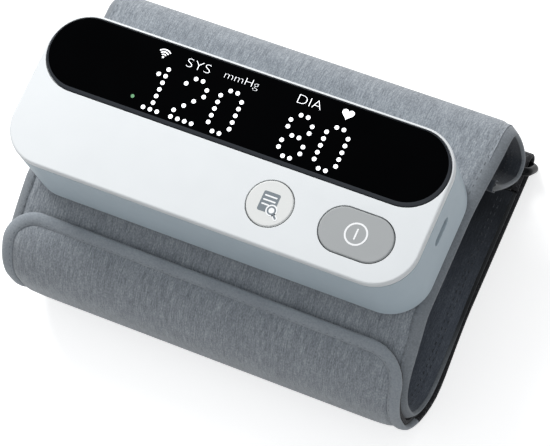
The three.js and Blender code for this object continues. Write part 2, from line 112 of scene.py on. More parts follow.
def make_stage():
    scene = bpy.context.scene
    scene.view_settings.view_transform = "Standard"
    scene.world = make_sky()
    make_light("key", (-0.46, 0.46, 0.6), (0.45, 0.35), 6.3)
    make_light("side", (1.0, -0.7, 0.45), (0.6, 0.4), 0.9, (0.93, 0.97, 1))
    floor = bpy.data.meshes.new("floor")
    edge = 6
    corners = [(-edge, -edge, 0), (edge, -edge, 0), (edge, edge, 0), (-edge, edge, 0)]
    floor.from_pydata(corners, [], [(0, 1, 2, 3)])
    pale = (0.8, 0.8, 0.8)
    look = Look("floor", pale, 0.9, Specular_IOR_Level=0.0)
    look.tint(look.noise(look.place(), 3), scaled(pale, 0.9875), scaled(pale, 1.0125))
    look.shader.inputs["Emission Color"].default_value = (1, 1, 1, 1)
    seen = look.node("ShaderNodeLightPath", {}).outputs["Is Camera Ray"]
    look.tree.links.new(look.stretch(seen, 0, 1, 0, 0.6), look.shader.inputs["Emission Strength"])
    floor.materials.append(look.material)
    add_object("floor", floor)


# ---- materials ----
class Look:
    """A Principled material and short ways to add nodes to it."""

    def __init__(self, name, colour, roughness, **sockets):
        self.material = bpy.data.materials.new(name)
        self.material.use_nodes = True
        self.tree = self.material.node_tree
        self.shader = self.tree.nodes["Principled BSDF"]
        self.material.diffuse_color = (*colour, 1)
        self.shader.inputs["Base Color"].default_value = (*colour, 1)
        self.shader.inputs["Roughness"].default_value = roughness
        for socket, value in sockets.items():
            self.shader.inputs[socket.replace("_", " ")].default_value = value

    def node(self, kind, inputs, **settings):
        made = self.tree.nodes.new(kind)
        for key, value in settings.items():
            setattr(made, key, value)
        for key, value in inputs.items():
            if isinstance(value, bpy.types.NodeSocket):
                self.tree.links.new(value, made.inputs[key])
            else:
                made.inputs[key].default_value = value
        return made

    def place(self):
        return self.node("ShaderNodeTexCoord", {}).outputs["Object"]

    def cloth_place(self, across, along):
        """Cloth coordinates counted in cells of the size given in millimetres."""
        flat = self.node("ShaderNodeUVMap", {}, uv_map="cloth").outputs["UV"]
        scale = (100 / across, 100 / along, 1)
        return self.node("ShaderNodeMapping", {"Vector": flat, "Scale": scale}).outputs["Vector"]

    def along(self):
        """Distance along the cloth, in millimetres."""
        return self.node("ShaderNodeSeparateXYZ", {0: self.cloth_place(1, 1)}).outputs["Y"]

    def noise(self, place, scale, detail=2, roughness=0.5):
        inputs = {"Vector": place, "Scale": scale, "Detail": detail, "Roughness": roughness}
        return self.node("ShaderNodeTexNoise", inputs).outputs["Fac"]

    def cells(self, place, scale):
        inputs = {"Vector": place, "Scale": scale}
        return self.node("ShaderNodeTexVoronoi", inputs).outputs["Distance"]

    def waves(self, place, scale, direction, distortion=0):
        inputs = {"Vector": place, "Scale": scale, "Distortion": distortion, "Detail": 1}
        return self.node("ShaderNodeTexWave", inputs, bands_direction=direction).outputs["Fac"]

    def shade(self, start, end, before=1.0, after=1.0):
        """Changes the colour's brightness between two places along the cloth."""
        socket = self.shader.inputs["Base Color"]
        colour = socket.links[0].from_socket
        factor = self.stretch(self.along(), start, end, before, after)
        inputs = {0: 1.0, 6: colour, 7: factor}
        made = self.node("ShaderNodeMix", inputs, data_type="RGBA", blend_type="MULTIPLY")
        self.tree.links.new(made.outputs[2], socket)
        return self

    def sum(self, *terms):
        """Sum of sockets, each with its factor."""
        total = 0.0
        for socket, factor in terms:
            inputs = {0: socket, 1: factor, 2: total}
            total = self.node("ShaderNodeMath", inputs, operation="MULTIPLY_ADD").outputs[0]
        return total

    def stretch(self, socket, low, high, to_low=0, to_high=1):
        inputs = {"Value": socket, "From Min": low, "From Max": high, "To Min": to_low, "To Max": to_high}
        return self.node("ShaderNodeMapRange", inputs).outputs["Result"]

    def mix(self, share, first, second):
        first, second = [value if isinstance(value, bpy.types.NodeSocket) else (*value, 1)
                         for value in (first, second)]
        return self.node("ShaderNodeMix", {0: share, 6: first, 7: second}, data_type="RGBA").outputs[2]

    def tint(self, share, first, second):
        self.tree.links.new(self.mix(share, first, second), self.shader.inputs["Base Color"])

    def rough(self, socket, low, high):
        self.tree.links.new(self.stretch(socket, 0.3, 0.7, low, high), self.shader.inputs["Roughness"])

    def bump(self, height, depth, strength=1):
        """Relief of the depth given in millimetres."""
        inputs = {"Height": height, "Distance": depth * MM, "Strength": strength}
        made = self.node("ShaderNodeBump", inputs)
        self.tree.links.new(made.outputs["Normal"], self.shader.inputs["Normal"])


def scaled(colour, factor):
    return tuple(min(1.0, c * factor) for c in colour)


def moulded(name, colour, roughness, grain=0.02, spread=0.03, **sockets):
    """Moulded plastic: slight mottling and a fine moulding grain."""
    look = Look(name, colour, roughness, **sockets)
    place = look.place()
    mottle = look.noise(place, 28, 3)
    look.tint(look.stretch(mottle, 0.3, 0.7), scaled(colour, 1 - spread), scaled(colour, 1 + spread))
    fine = look.noise(place, 2600, 2)
    look.rough(look.noise(place, 160, 2), roughness - 0.04, roughness + 0.05)
    look.bump(fine, grain)
    return look.material


def heather(name, dark, mid, light, contrast=1.0, rib=0.05, fuzz=0.4):
    """Brushed knit of mixed light and dark yarn that runs along the cloth."""
    look = Look(name, mid, 0.93, Sheen_Weight=fuzz, Sheen_Roughness=0.5, Specular_IOR_Level=0.2)
    yarn = look.noise(look.cloth_place(0.45, 3.6), 1, 3, 0.62)
    streak = look.noise(look.cloth_place(1.3, 9), 1, 2)
    blotch = look.noise(look.cloth_place(9, 10), 1, 2)
    speck = look.noise(look.cloth_place(0.38, 0.75), 1, 1)
    weights = [contrast * w for w in (1.0, 0.42, 0.22, 0.75)]
    share = look.sum(*zip((yarn, streak, blotch, speck), weights))
    middle = 0.5 * sum(weights)
    light_share = look.stretch(share, middle, middle + 0.42)
    dark_share = look.stretch(share, middle, middle - 0.42)
    look.tint(dark_share, look.mix(light_share, mid, light), dark)
    ribs = look.waves(look.cloth_place(0.62, 40), 0.314, "X", 0.6)
    loops = look.waves(look.cloth_place(30, 0.55), 0.314, "Y", 0.8)
    look.bump(look.sum((ribs, 0.5), (loops, 0.28), (speck, 0.7), (yarn, 0.5)), rib)
    return look


def tape(name, dark, light):
    """Smooth binding tape with a fine cross rib."""
    look = Look(name, light, 0.88, Sheen_Weight=0.3, Sheen_Roughness=0.5, Specular_IOR_Level=0.25)
    place = look.place()
    patch = look.noise(place, 90, 3)
    fleck = look.noise(place, 1500, 3, 0.65)
    share = look.sum((patch, 0.5), (fleck, 0.9))
    look.tint(look.stretch(share, 0.5, 0.9), dark, light)
    rib = look.noise(place, 2300, 2)
    look.bump(look.sum((rib, 0.6), (fleck, 0.5)), 0.05)
    return look


def hooks():
    """Black hook tape: rows of stiff little hooks on a woven ground."""
    look = Look("hook_black", (0.008, 0.009, 0.012), 0.75, Sheen_Weight=0.15)
    field = look.cells(look.cloth_place(0.9, 0.9), 1)
    look.tint(look.stretch(field, 0.1, 0.6), (0.025, 0.027, 0.032), (0.004, 0.004, 0.006))
    look.bump(look.stretch(field, 0, 0.5, 1, 0), 0.35)
    return look.material


def brushed_steel():
    look = Look("steel", (0.55, 0.56, 0.58), 0.3, Metallic=1)
    place = look.place()
    brushing = {"Vector": place, "Scale": (200, 5000, 5000)}
    lines = look.noise(look.node("ShaderNodeMapping", brushing).outputs[0], 1, 3)
    look.tint(lines, (0.48, 0.49, 0.51), (0.63, 0.64, 0.66))
    look.rough(lines, 0.22, 0.42)
    look.bump(lines, 0.01)
    return look.material


def circuit():
    """Green solder mask over copper runs."""
    look = Look("board_green", (0.02, 0.11, 0.05), 0.4, Coat_Weight=0.3)
    place = look.place()
    runs = look.cells(place, 420)
    track = look.stretch(runs, 0.32, 0.36)
    look.tint(track, (0.012, 0.075, 0.035), (0.03, 0.15, 0.065))
    look.bump(track, 0.03)
    return look.material


def rubber():
    look = Look("silicone", (0.62, 0.62, 0.6), 0.55, Subsurface_Weight=0.15, Subsurface_Scale=0.001)
    place = look.place()
    cloud = look.noise(place, 60, 3)
    look.tint(cloud, (0.55, 0.55, 0.53), (0.7, 0.7, 0.68))
    look.rough(cloud, 0.5, 0.62)
    look.bump(look.noise(place, 1800, 2), 0.02)
    return look.material


def glowing(name, colour, strength):
    """Lit mark, with a slight grain."""
    look = Look(name, colour, 0.5, Emission_Strength=strength)
    look.shader.inputs["Emission Color"].default_value = (*colour, 1)
    grain = look.noise(look.place(), 900, 1)
    look.tint(grain, scaled(colour, 0.9), colour)
    return look.material


def glass_black():
    """Black display window: almost no diffuse light, faint smoky mottling."""
    look = Look("lens_black", (0.0008, 0.0009, 0.0012), 0.12, Specular_IOR_Level=0.01)
    smoke = look.noise(look.place(), 40, 2)
    look.tint(smoke, (0.0005, 0.0006, 0.0008), (0.0012, 0.0013, 0.0016))
    look.rough(smoke, 0.08, 0.16)
    return look.material


def thread(name, dark, light):
    look = Look(name, light, 0.8, Sheen_Weight=0.2)
    twist = look.waves(look.place(), 500, "DIAGONAL")
    look.tint(twist, dark, light)
    look.bump(twist, 0.04)
    return look.material


CUFF_SHADES = (0.14, 0.156, 0.177), (0.26, 0.284, 0.312), (0.42, 0.45, 0.48)
TAPE_SHADES = (0.25, 0.275, 0.305), (0.335, 0.365, 0.395)
# Painted shade: the band's edge tape is the flap's tape given darker colours, for the shade on its drooping
# edge.
BAND_TAPE_SHADES = (0.17, 0.187, 0.207), (0.245, 0.267, 0.29)
# Lining colours: partly the lining's own darker grey, partly painted shade for the shaded inside of the cuff.
LINING_SHADES = (0.03, 0.036, 0.045), (0.055, 0.063, 0.077), (0.1, 0.112, 0.13)

MOULDED = {                       # colour, roughness, depth of the grain, spread of the mottling
    "cover_white": ((0.735, 0.76, 0.775), 0.36, 0.008, 0.012),
    "housing_grey": ((0.465, 0.547, 0.602), 0.45, 0.02, 0.025),
    "lens_bezel": ((0.013, 0.017, 0.024), 0.3, 0.005),
    "button_white": ((0.71, 0.72, 0.71), 0.42, 0.008, 0.012),
    "button_grey": ((0.355, 0.37, 0.375), 0.45, 0.01, 0.015),
    "icon_grey": ((0.17, 0.2, 0.225), 0.55, 0.004),
    "icon_white": ((0.9, 0.91, 0.92), 0.5, 0.004),
    "plastic_dark": ((0.03, 0.033, 0.037), 0.5, 0.02, 0.1),
}
RING_BLACK = (0.003, 0.0035, 0.004)
BATTERY_BLUE = (0.03, 0.09, 0.2)

LOOKS = {
    **{name: moulded(name, *values) for name, values in MOULDED.items()},
    "ring_black": moulded("ring_black", RING_BLACK, 0.15, 0.002, 0.1, Specular_IOR_Level=0.12),
    "battery_wrap": moulded("battery_wrap", BATTERY_BLUE, 0.3, 0.01, 0.08, Coat_Weight=0.4),
    "lens_black": glass_black(),
    "display_light": glowing("display_light", (0.95, 0.97, 1.0), 1.1),
    "status_green": glowing("status_green", (0.1, 0.3, 0.13), 0.2),
    "cuff_fabric": heather("cuff_fabric", *CUFF_SHADES, contrast=1.15).material,
    "binding_grey": tape("binding_grey", *TAPE_SHADES).material,
    "hook_black": hooks(),
    "stitch": thread("stitch", (0.13, 0.145, 0.16), (0.2, 0.215, 0.235)),
    "stitch_dark": thread("stitch_dark", (0.045, 0.052, 0.062), (0.08, 0.09, 0.103)),
    "board_green": circuit(),
    "steel": brushed_steel(),
    "silicone": rubber(),
}


def dress_cad():
    """Gives each carried-over CAD node the material of its slot in the record."""
    for entry in frame["record"]["subparts"]:
        node = frame["nodes"][entry["node"]]
        material = LOOKS[entry["material_slot"]]
        if not node.material_slots:
            node.data.materials.append(material)
        for slot in node.material_slots:
            slot.link = "OBJECT"
            slot.material = material


# ---- meshes ----
def even_normals(piece):
    modifier = piece.modifiers.new("even_normals", "WEIGHTED_NORMAL")
    modifier.keep_sharp = True


def evaluated_mesh(piece):
    """Mesh of an object with its modifiers, or of a text, as it is now."""
    graph = bpy.context.evaluated_depsgraph_get()
    return bpy.data.meshes.new_from_object(piece.evaluated_get(graph))


def finish_piece(name, bm, look, body=ROOT, slot=None, smooth=35, weighted=False):
    """Turns a bmesh in millimetres into a piece that rides on a body."""
    bmesh.ops.recalc_face_normals(bm, faces=bm.faces)
    bm.transform(Matrix.Scale(MM, 4))
    mesh = bpy.data.meshes.new(name)
    bm.to_mesh(mesh)
    bm.free()
    mesh.materials.append(LOOKS[look])
    mesh.shade_smooth()
    mesh.set_sharp_from_angle(angle=radians(smooth))
    piece = add_object(name, mesh)
    if weighted:
        even_normals(piece)
    if body:
        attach(piece, body)
    slot or look
    return piece


def circle(x, y, radius):
    """Outline arguments of a circle."""
    return x, y, 2 * radius, 2 * radius, radius


def apart(a, b):
    return hypot(b[0] - a[0], b[1] - a[1])


def direction(a, b):
    """Unit vector from one point of a plane to another."""
    length = apart(a, b) or 1
    return (b[0] - a[0]) / length, (b[1] - a[1]) / length


def outline(cx, cy, length, depth, radius, inset=0.0, steps=14):
    """Rounded rectangle, anticlockwise; a stadium where depth is twice the radius."""
    corner = max(radius - inset, 0.01)
    half_x, half_y = length / 2 - inset - corner, depth / 2 - inset - corner
    points = []
    for side_x, side_y, start in ((1, 1, 0), (-1, 1, 90), (-1, -1, 180), (1, -1, 270)):
        for i in range(steps + 1):
            angle = radians(start + 90 * i / steps)
            point = (cx + side_x * half_x + corner * cos(angle), cy + side_y * half_y + corner * sin(angle))
            if not points or apart(point, points[-1]) > 1e-4:
                points.append(point)
    if apart(points[0], points[-1]) < 1e-4:
        points.pop()
    return points


def fillet(radius, top, steps=5):
    """(inset, z) of a quarter round from the side wall up to a flat top."""
    turns = [radians(90 * i / steps) for i in range(steps + 1)]
    return [(radius * (1 - cos(a)), top - radius + radius * sin(a)) for a in turns]


class Shell:
    """Hard shell made of rings of points, joined by strips and closed by flat caps."""

    def __init__(self):
        self.bm = bmesh.new()

    def ring(self, points, z):
        return [self.bm.verts.new((x, y, z)) for x, y in points]

    def strip(self, *rings):
        for low, high in zip(rings, rings[1:]):
            for i, start in enumerate(low):
                j = (i + 1) % len(low)
                self.bm.faces.new((start, low[j], high[j], high[i]))

    def wall(self, shape, profile):
        """Strips through the (inset, z) steps of a profile; returns its first and last ring."""
        rings = [self.ring(outline(*shape, inset), z) for inset, z in profile]
        self.strip(*rings)
        return rings[0], rings[-1]

    def cap(self, *rings):
        edges = []
        for ring in rings:
            for i, start in enumerate(ring):
                pair = (start, ring[(i + 1) % len(ring)])
                edges.append(self.bm.edges.get(pair) or self.bm.edges.new(pair))
        bmesh.ops.triangle_fill(self.bm, use_beauty=True, edges=edges)

    def rod(self, x, y, radius, z, bore=0):
        """Closed upright post, with a hole through it if bore is given."""
        sides = [(0, z[0]), (0, z[1] - 0.2)]
        low, high = self.wall(circle(x, y, radius), [*sides, (0.2, z[1])])
        if bore:
            inner_low, inner_high = self.wall(circle(x, y, bore), [*sides, (-0.15, z[1])])
            self.cap(low, inner_low)
            self.cap(high, inner_high)
        else:
            self.cap(low)
            self.cap(high)


# ---- monitor ----
FACE = (0, -2, 143, 54, 14.3)
FACE_TOP = 83.5
COVER_BOTTOM = 80.9
LIP_BOTTOM = 79.4                 # of the lip under the cover that locates it in the housing
POCKET_FLOOR = 82                 # of the recess for the display window
HOUSING = (52.3, 80.6)
WALL = 2.2
TAPER = 0.5
FLOOR_TOP = 54.1
GAP = 0.3
LENS = (0, 10.9, 140.6, 26, 13)
LENS_TOP = 83.8
BUTTON_Y = -15.1
MEMORY = (20.7, BUTTON_Y, 15.28, 15.28, 7.64)
POWER = (50.4, BUTTON_Y, 24.68, 15.32, 7.66)
BUTTON_TOP = 83.7
SCREWS = ((-62.5, -20.5), (33.2, -22.8), (-62.5, 16.5), (62.5, 16.5))
STUDS = ((-48, -8), (-48, 14), (48, -8), (48, 14))
AIR_PORT = (20, -18)
USB = {"y": -1.6, "z": 70.7, "width": 9.6, "height": 3.8}


def make_cover():
    def opening(floor):
        """Wall of an opening in the face, with a softened rim."""
        return [(-GAP, floor), (-GAP, FACE_TOP - 0.2), (-GAP - 0.06, FACE_TOP - 0.06), (-GAP - 0.2, FACE_TOP)]

    shell = Shell()
    foot = [(0.35, COVER_BOTTOM), (0.1, COVER_BOTTOM + 0.1), (0, COVER_BOTTOM + 0.35)]
    low, top = shell.wall(FACE, [*foot, *fillet(0.8, FACE_TOP)])
    pocket_floor, pocket = shell.wall(LENS, opening(POCKET_FLOOR))
    button_holes = [shell.wall(shape, opening(COVER_BOTTOM)) for shape in (MEMORY, POWER)]
    shell.cap(top, pocket, *[rim for _, rim in button_holes])
    light_window = (0, 10.35, 84, 23.4, 2)
    window_low, window_high = shell.wall(light_window, [(0, COVER_BOTTOM), (0, POCKET_FLOOR)])
    shell.cap(pocket_floor, window_high)
    lip = WALL + TAPER + GAP
    lip_out, lip_foot = shell.wall(FACE, [(lip, COVER_BOTTOM), (lip, LIP_BOTTOM)])
    lip_in, lip_top = shell.wall(FACE, [(lip + 1.2, LIP_BOTTOM), (lip + 1.2, COVER_BOTTOM)])
    shell.cap(low, lip_out)
    shell.strip(lip_foot, lip_in)
    shell.cap(lip_top, window_low, *[inner for inner, _ in button_holes])
    for x, y in SCREWS:
        shell.rod(x, y, 2.8, (70, COVER_BOTTOM + 0.4), bore=1.5)
    piece = finish_piece("top_cover_shell", shell.bm, "cover_white", weighted=True)
    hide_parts("top_cover")


def make_housing():
    shell = Shell()
    bottom, rim = HOUSING
    height = rim - bottom

    def share(z):
        return TAPER * (rim - z) / height

    rounding = ((1.4, bottom), (0.75, bottom + 0.12), (0.25, bottom + 0.55), (0, bottom + 1.3))
    foot = [(share(z) + inset, z) for inset, z in rounding]
    sides = [(share(z), z) for z in (56, 62, 68, 74, 78, rim - 0.3)]
    low, high = shell.wall(FACE, [*foot, *sides, (0.07, rim - 0.08), (0.25, rim)])
    inner = WALL + TAPER
    cavity = [(inner - 0.3, rim), (inner, rim - 0.3), (inner, FLOOR_TOP + 1), (inner + 1, FLOOR_TOP)]
    mouth, floor = shell.wall(FACE, cavity)
    shell.strip(high, mouth)
    holes = [circle(x, y, 2.6) for x, y in SCREWS] + [circle(x, y, 1.5) for x, y in STUDS]
    through = [shell.wall(shape, [(0, bottom), (0, FLOOR_TOP)]) for shape in (*holes, circle(*AIR_PORT, 2.5))]
    shell.cap(low, *[ends[0] for ends in through])
    shell.cap(floor, *[ends[1] for ends in through])
    for x, y in SCREWS:
        shell.rod(x, y, 3, (55.1, 69.7), bore=1.5)
    piece = finish_piece("housing_shell", shell.bm, "housing_grey", body=None)
    cutter = Shell()
    slot = (0, 0, USB["width"], USB["height"], USB["height"] / 2)
    near, far = cutter.wall(slot, [(0, 64), (0, 71.0), (-0.5, 72)])
    cutter.cap(near)
    cutter.cap(far)
    cutter.bm.transform(Matrix(((0, 0, 1, 0), (1, 0, 0, USB["y"]), (0, 1, 0, USB["z"]), (0, 0, 0, 1))))
    tool = finish_piece("cutter", cutter.bm, "housing_grey", body=None)
    cut = piece.modifiers.new("slot", "BOOLEAN")
    cut.operation, cut.object, cut.solver = "DIFFERENCE", tool, "EXACT"
    mesh = evaluated_mesh(piece)
    piece.modifiers.clear()
    piece.data = mesh
    bpy.data.objects.remove(tool)
    piece.data.shade_smooth()
    piece.data.set_sharp_from_angle(angle=radians(35))
    even_normals(piece)
    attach(piece, ROOT)
    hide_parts("base_housing")


def make_window():
    pane = (LENS[0] - 0.3, LENS[1] + 0.47, *LENS[2:])
    shell = Shell()
    seat = POCKET_FLOOR + 0.35
    edge = [(0.75, seat), (0.73, LENS_TOP - 0.08), (0.75, LENS_TOP - 0.03), (0.81, LENS_TOP)]
    low, top = shell.wall(pane, edge)
    shell.cap(low)
    shell.cap(top)
    window = finish_piece("display_window", shell.bm, "lens_black", weighted=True)
    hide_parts("display_lens")
    ring = Shell()
    outside = [(0, seat), (0, FACE_TOP - 0.1), (0.03, FACE_TOP), (0.1, FACE_TOP + 0.06)]
    outer_low, outer_top = ring.wall(LENS, outside)
    inner_low, inner_top = ring.wall(pane, [(0.7, seat), (0.7, LENS_TOP - 0.06)])
    ring.strip(outer_low, inner_low)
    ring.strip(outer_top, inner_top)
    finish_piece("display_bezel", ring.bm, "lens_bezel", slot="lens_black")


def make_buttons():
    for name, shape, look, body in (("memory", MEMORY, "button_white", "memory_key"),
                                    ("power", POWER, "button_grey", "power_key")):
        shell = Shell()
        low, top = shell.wall(shape, [(-1, 79.8), (-1, 80.6), (0, 80.6), *fillet(0.45, BUTTON_TOP, 4)])
        dish = shell.ring(outline(*shape, 1.6), BUTTON_TOP - 0.03)
        shell.strip(top, dish)
        shell.cap(low)
        shell.cap(dish)
        shell.rod(shape[0], shape[1], 1.5, (79, 79.9))
        piece = finish_piece(f"{name}_cap", shell.bm, look, body=body, weighted=True)
        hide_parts(f"{name}_button")


# ---- flat marks on the display and the buttons ----
def mark(name, shapes, z, look, body=ROOT):
    """Thin closed plates from point lists; a second list in a shape is a hole."""
    shell = Shell()
    for outer, *holes in shapes:
        soft = 0.25 * (z[1] - z[0])
        loops = []
        for points in (outer, *holes):
            low, middle, top = [shell.ring(points, level) for level in (z[0], z[1] - soft, z[1])]
            shell.strip(low, middle, top)
            loops.append((low, top))
        shell.cap(*[low for low, top in loops])
        shell.cap(*[top for low, top in loops])
    return finish_piece(name, shell.bm, look, body=body)


def disc(x, y, radius, steps=5):
    return outline(*circle(x, y, radius), steps=steps)


def bar(start, end, width, steps=3):
    """Rounded bar between two points."""
    (x0, y0), (x1, y1) = start, end
    turn = Matrix.Rotation(np.arctan2(y1 - y0, x1 - x0), 2)
    points = outline(0, 0, apart(start, end) + width, width, width / 2 - 1e-4, steps=steps)
    middle = Vector(((x0 + x1) / 2, (y0 + y1) / 2))
    return [tuple(turn @ Vector(p) + middle) for p in points]


def arc_band(x, y, radius, width, start, end, steps=12):
    turns = [radians(start + (end - start) * i / steps) for i in range(steps + 1)]
    out = [(x + (radius + width / 2) * cos(a), y + (radius + width / 2) * sin(a)) for a in turns]
    back = [(x + (radius - width / 2) * cos(a), y + (radius - width / 2) * sin(a)) for a in reversed(turns)]
    return out + back


GLYPHS = {
    "0": (".11.", "1..1", "1..1", "1..1", "1..1", "1..1", ".11."),
    "1": ("..1.", ".11.", "..1.", "..1.", "..1.", "..1.", ".111"),
    "2": (".11.", "1..1", "...1", "..1.", ".1..", "1...", "1111"),
    "8": (".11.", "1..1", "1..1", ".11.", "1..1", "1..1", ".11."),
}
DOT_PITCH = (2.47, 2.41)
DOT_RADIUS = 0.72
DIGIT_MIDDLE_Y = 7.97
MARK_Z = (LENS_TOP - 0.03, LENS_TOP + 0.05)


def make_digits():
    dots = []
    for glyph, middle in (("1", -30.2), ("2", -17.85), ("0", -5.5), ("8", 19.3), ("0", 31.7)):
        for row, line in enumerate(GLYPHS[glyph]):
            for column, lit in enumerate(line):
                if lit == "1":
                    x = middle + (column - 1.5) * DOT_PITCH[0]
                    y = DIGIT_MIDDLE_Y + (3 - row) * DOT_PITCH[1]
                    dots.append([disc(x, y, DOT_RADIUS)])
    mark("display_dots", dots, MARK_Z, "display_light")


def make_legend(name, words, left, right, middle_y, cap_height):
    """Legend fitted between two X places, with capitals of the height given."""
    text = bpy.data.curves.new(name, "FONT")
    text.body = words
    text.size = 1
    text.extrude = 0.5
    text.resolution_u = 6
    text.offset = -0.03
    holder = add_object(name, text)
    mesh = evaluated_mesh(holder)
    bpy.data.objects.remove(holder)
    bm = bmesh.new()
    bm.from_mesh(mesh)
    bmesh.ops.remove_doubles(bm, verts=bm.verts, dist=1e-5)
    low_x, high_x = min(v.co.x for v in bm.verts), max(v.co.x for v in bm.verts)
    cap_line = 0.729
    for vertex in bm.verts:
        x, y, z = vertex.co
        vertex.co = (
            left + (x - low_x) / (high_x - low_x) * (right - left),
            middle_y + (y / cap_line - 0.5) * cap_height,
            MARK_Z[0] if z < 0 else MARK_Z[1],
        )
    finish_piece(name, bm, "display_light")


def make_heart():
    points = []
    for i in range(40):
        a = tau * i / 40
        x = 16 * sin(a) ** 3
        y = 13 * cos(a) - 5 * cos(2 * a) - 2 * cos(3 * a) - cos(4 * a)
        points.append((32.0 - x * 0.128, 20.5 + y * 0.123))
    mark("heart_sign", [[points]], MARK_Z, "display_light")


def make_display_marks():
    make_digits()
    make_legend("legend_upper", "SYS", -24.4, -16.0, 19.75, 3.3)
    make_legend("legend_unit", "mmHg", -10.8, 1.2, 20.0, 2.75)
    make_legend("legend_lower", "DIA", 14.9, 23.1, 20.3, 3.3)
    make_heart()
    fan = [[arc_band(-32.6, 18.5, radius, 0.36, 45, 135, 10)] for radius in (1.0, 1.85, 2.7)]
    mark("wireless_sign", [[disc(-32.6, 18.55, 0.36)], *fan], MARK_Z, "display_light")
    mark("status_dot", [[disc(-36.3, 3.0, 0.62)]], MARK_Z, "status_green")


LINES_OF_TEXT = ((2.2, 1.55), (0.75, 1.55), (-0.7, -0.2))     # (height, right end) on the memory page


def make_icons():
    top = BUTTON_TOP
    x, y = POWER[:2]
    ring = [disc(x, y, 3.8, 12), disc(x, y, 3.22, 12)]
    stroke = [bar((x, y - 1.65), (x, y + 1.65), 0.55)]
    mark("power_symbol", [ring, stroke], (top - 0.08, top + 0.03), "icon_white", "power_key")
    x, y = MEMORY[:2]
    page = outline(x - 0.35, y + 0.25, 5.7, 6.7, 0.6)
    mark("memory_page", [[page]], (top - 0.08, top + 0.02), "icon_grey", "memory_key")
    lines = [[bar((x - 2.3, y + level), (x + end, y + level), 0.5)] for level, end in LINES_OF_TEXT]
    mark("memory_lines", lines, (top - 0.02, top + 0.035), "icon_white", "memory_key")
    glass_x, glass_y = x + 1.55, y - 2.0

    def handle(start, end, width):
        return [bar((glass_x + start, glass_y - start), (glass_x + end, glass_y - end), width)]

    rim = [[disc(glass_x, glass_y, 1.95, 10)], handle(1.2, 2.2, 1.35)]
    mark("memory_glass_rim", rim, (top - 0.02, top + 0.045), "icon_white", "memory_key")
    glass = [disc(glass_x, glass_y, 1.5, 10), disc(glass_x, glass_y, 0.95, 10)]
    glass = [glass, handle(1.3, 2.1, 0.65)]
    mark("memory_glass", glass, (top + 0.03, top + 0.065), "icon_grey", "memory_key")


# ---- cuff paths, as in part.mjs ----
class FabricPath:
    """Lines and arcs in the YZ plane; a positive turn is to the left."""

    def __init__(self, y, z, heading):
        self.parts = []
        self.tip = (0.0, y, z, radians(heading))

    def add(self, length, turn):
        self.parts.append((*self.tip, length, turn))
        self.tip = (self.tip[0] + length, *self.along(self.parts[-1], length))

    def line(self, length):
        self.add(length, 0.0)

    def arc(self, radius, degrees):
        self.add(radius * radians(abs(degrees)), radians(degrees))

    @staticmethod
    def along(part, distance):
        _, y, z, heading, length, turn = part
        if not turn:
            return y + distance * cos(heading), z + distance * sin(heading), heading
        radius = length / turn
        now = heading + distance / radius
        return y + radius * (sin(now) - sin(heading)), z - radius * (cos(now) - cos(heading)), now

    def end_at(self, y, z):
        dy, dz = y - self.tip[1], z - self.tip[2]
        self.parts = [(s, a + dy, b + dz, *rest) for s, a, b, *rest in self.parts]
        self.tip = (self.tip[0], y, z, self.tip[3])

    def at(self, s):
        part = self.parts[0]
        for candidate in self.parts:
            if candidate[0] <= s:
                part = candidate
        over = s - part[0] - part[4]
        if over > 0:
            y, z, heading = self.along(part, part[4])
            return y + over * cos(heading), z + over * sin(heading), heading
        if s < 0:
            _, y, z, heading = part[:4]
            return y + s * cos(heading), z + s * sin(heading), heading
        return self.along(part, s - part[0])

    def stations(self, start, end, straight=3.0, turn_step=5.0):
        """Places from start to end, closer together where the path turns."""
        marks = {start, end}
        for s, _, _, _, length, turn in self.parts:
            step = min(straight, length / max(1, abs(turn) / radians(turn_step)))
            count = max(1, ceil(length / step))
            marks.update(s + length * i / count for i in range(count + 1))
        inside = sorted(m for m in marks if start <= m <= end)
        return [m for i, m in enumerate(inside) if i == 0 or m - inside[i - 1] > 0.02]


CUFF_TOP = 52
CUFF_FRONT = -50.1
CUFF_HALF = 72.5
FRONT_RADIUS = 18
SHOULDER_RADIUS = 18.8
SHOULDER_SLOPE = 29
EASE_RADIUS = 12
SLOPE_LENGTH = 15.9
TAIL_DEPTH = 3.4
CURL_END_Y = 39
CURL = ((54, 28), (6.5, 130), (60, 20), (8, 80))     # (radius, degrees) of each arc, from its inner end
BAND_BACK_Y = 38                  # back end of the lower run

band = FabricPath(0, 0, 180 - sum(degrees for _, degrees in CURL))
for curl_radius, curl_degrees in CURL:
    band.arc(curl_radius, curl_degrees)
band.end_at(CURL_END_Y, CUFF_TOP)
top_start = band.tip[0]
slope_start = CUFF_FRONT + SHOULDER_RADIUS * (1 - sin(radians(SHOULDER_SLOPE)))
top_front = slope_start + SLOPE_LENGTH * cos(radians(SHOULDER_SLOPE))
top_front += EASE_RADIUS * sin(radians(SHOULDER_SLOPE))
band.line(CURL_END_Y - top_front)
top_end = band.tip[0]
band.arc(EASE_RADIUS, SHOULDER_SLOPE)
band.line(SLOPE_LENGTH)
band.arc(SHOULDER_RADIUS, 90 - SHOULDER_SLOPE)
front_start = band.tip[0]
front_height = band.tip[2] - FRONT_RADIUS - TAIL_DEPTH
band.line(front_height)
band.arc(FRONT_RADIUS, 90)
bottom_start = band.tip[0]
bottom_start_y = band.tip[1]
band.line(BAND_BACK_Y - bottom_start_y)
band_length = band.tip[0]

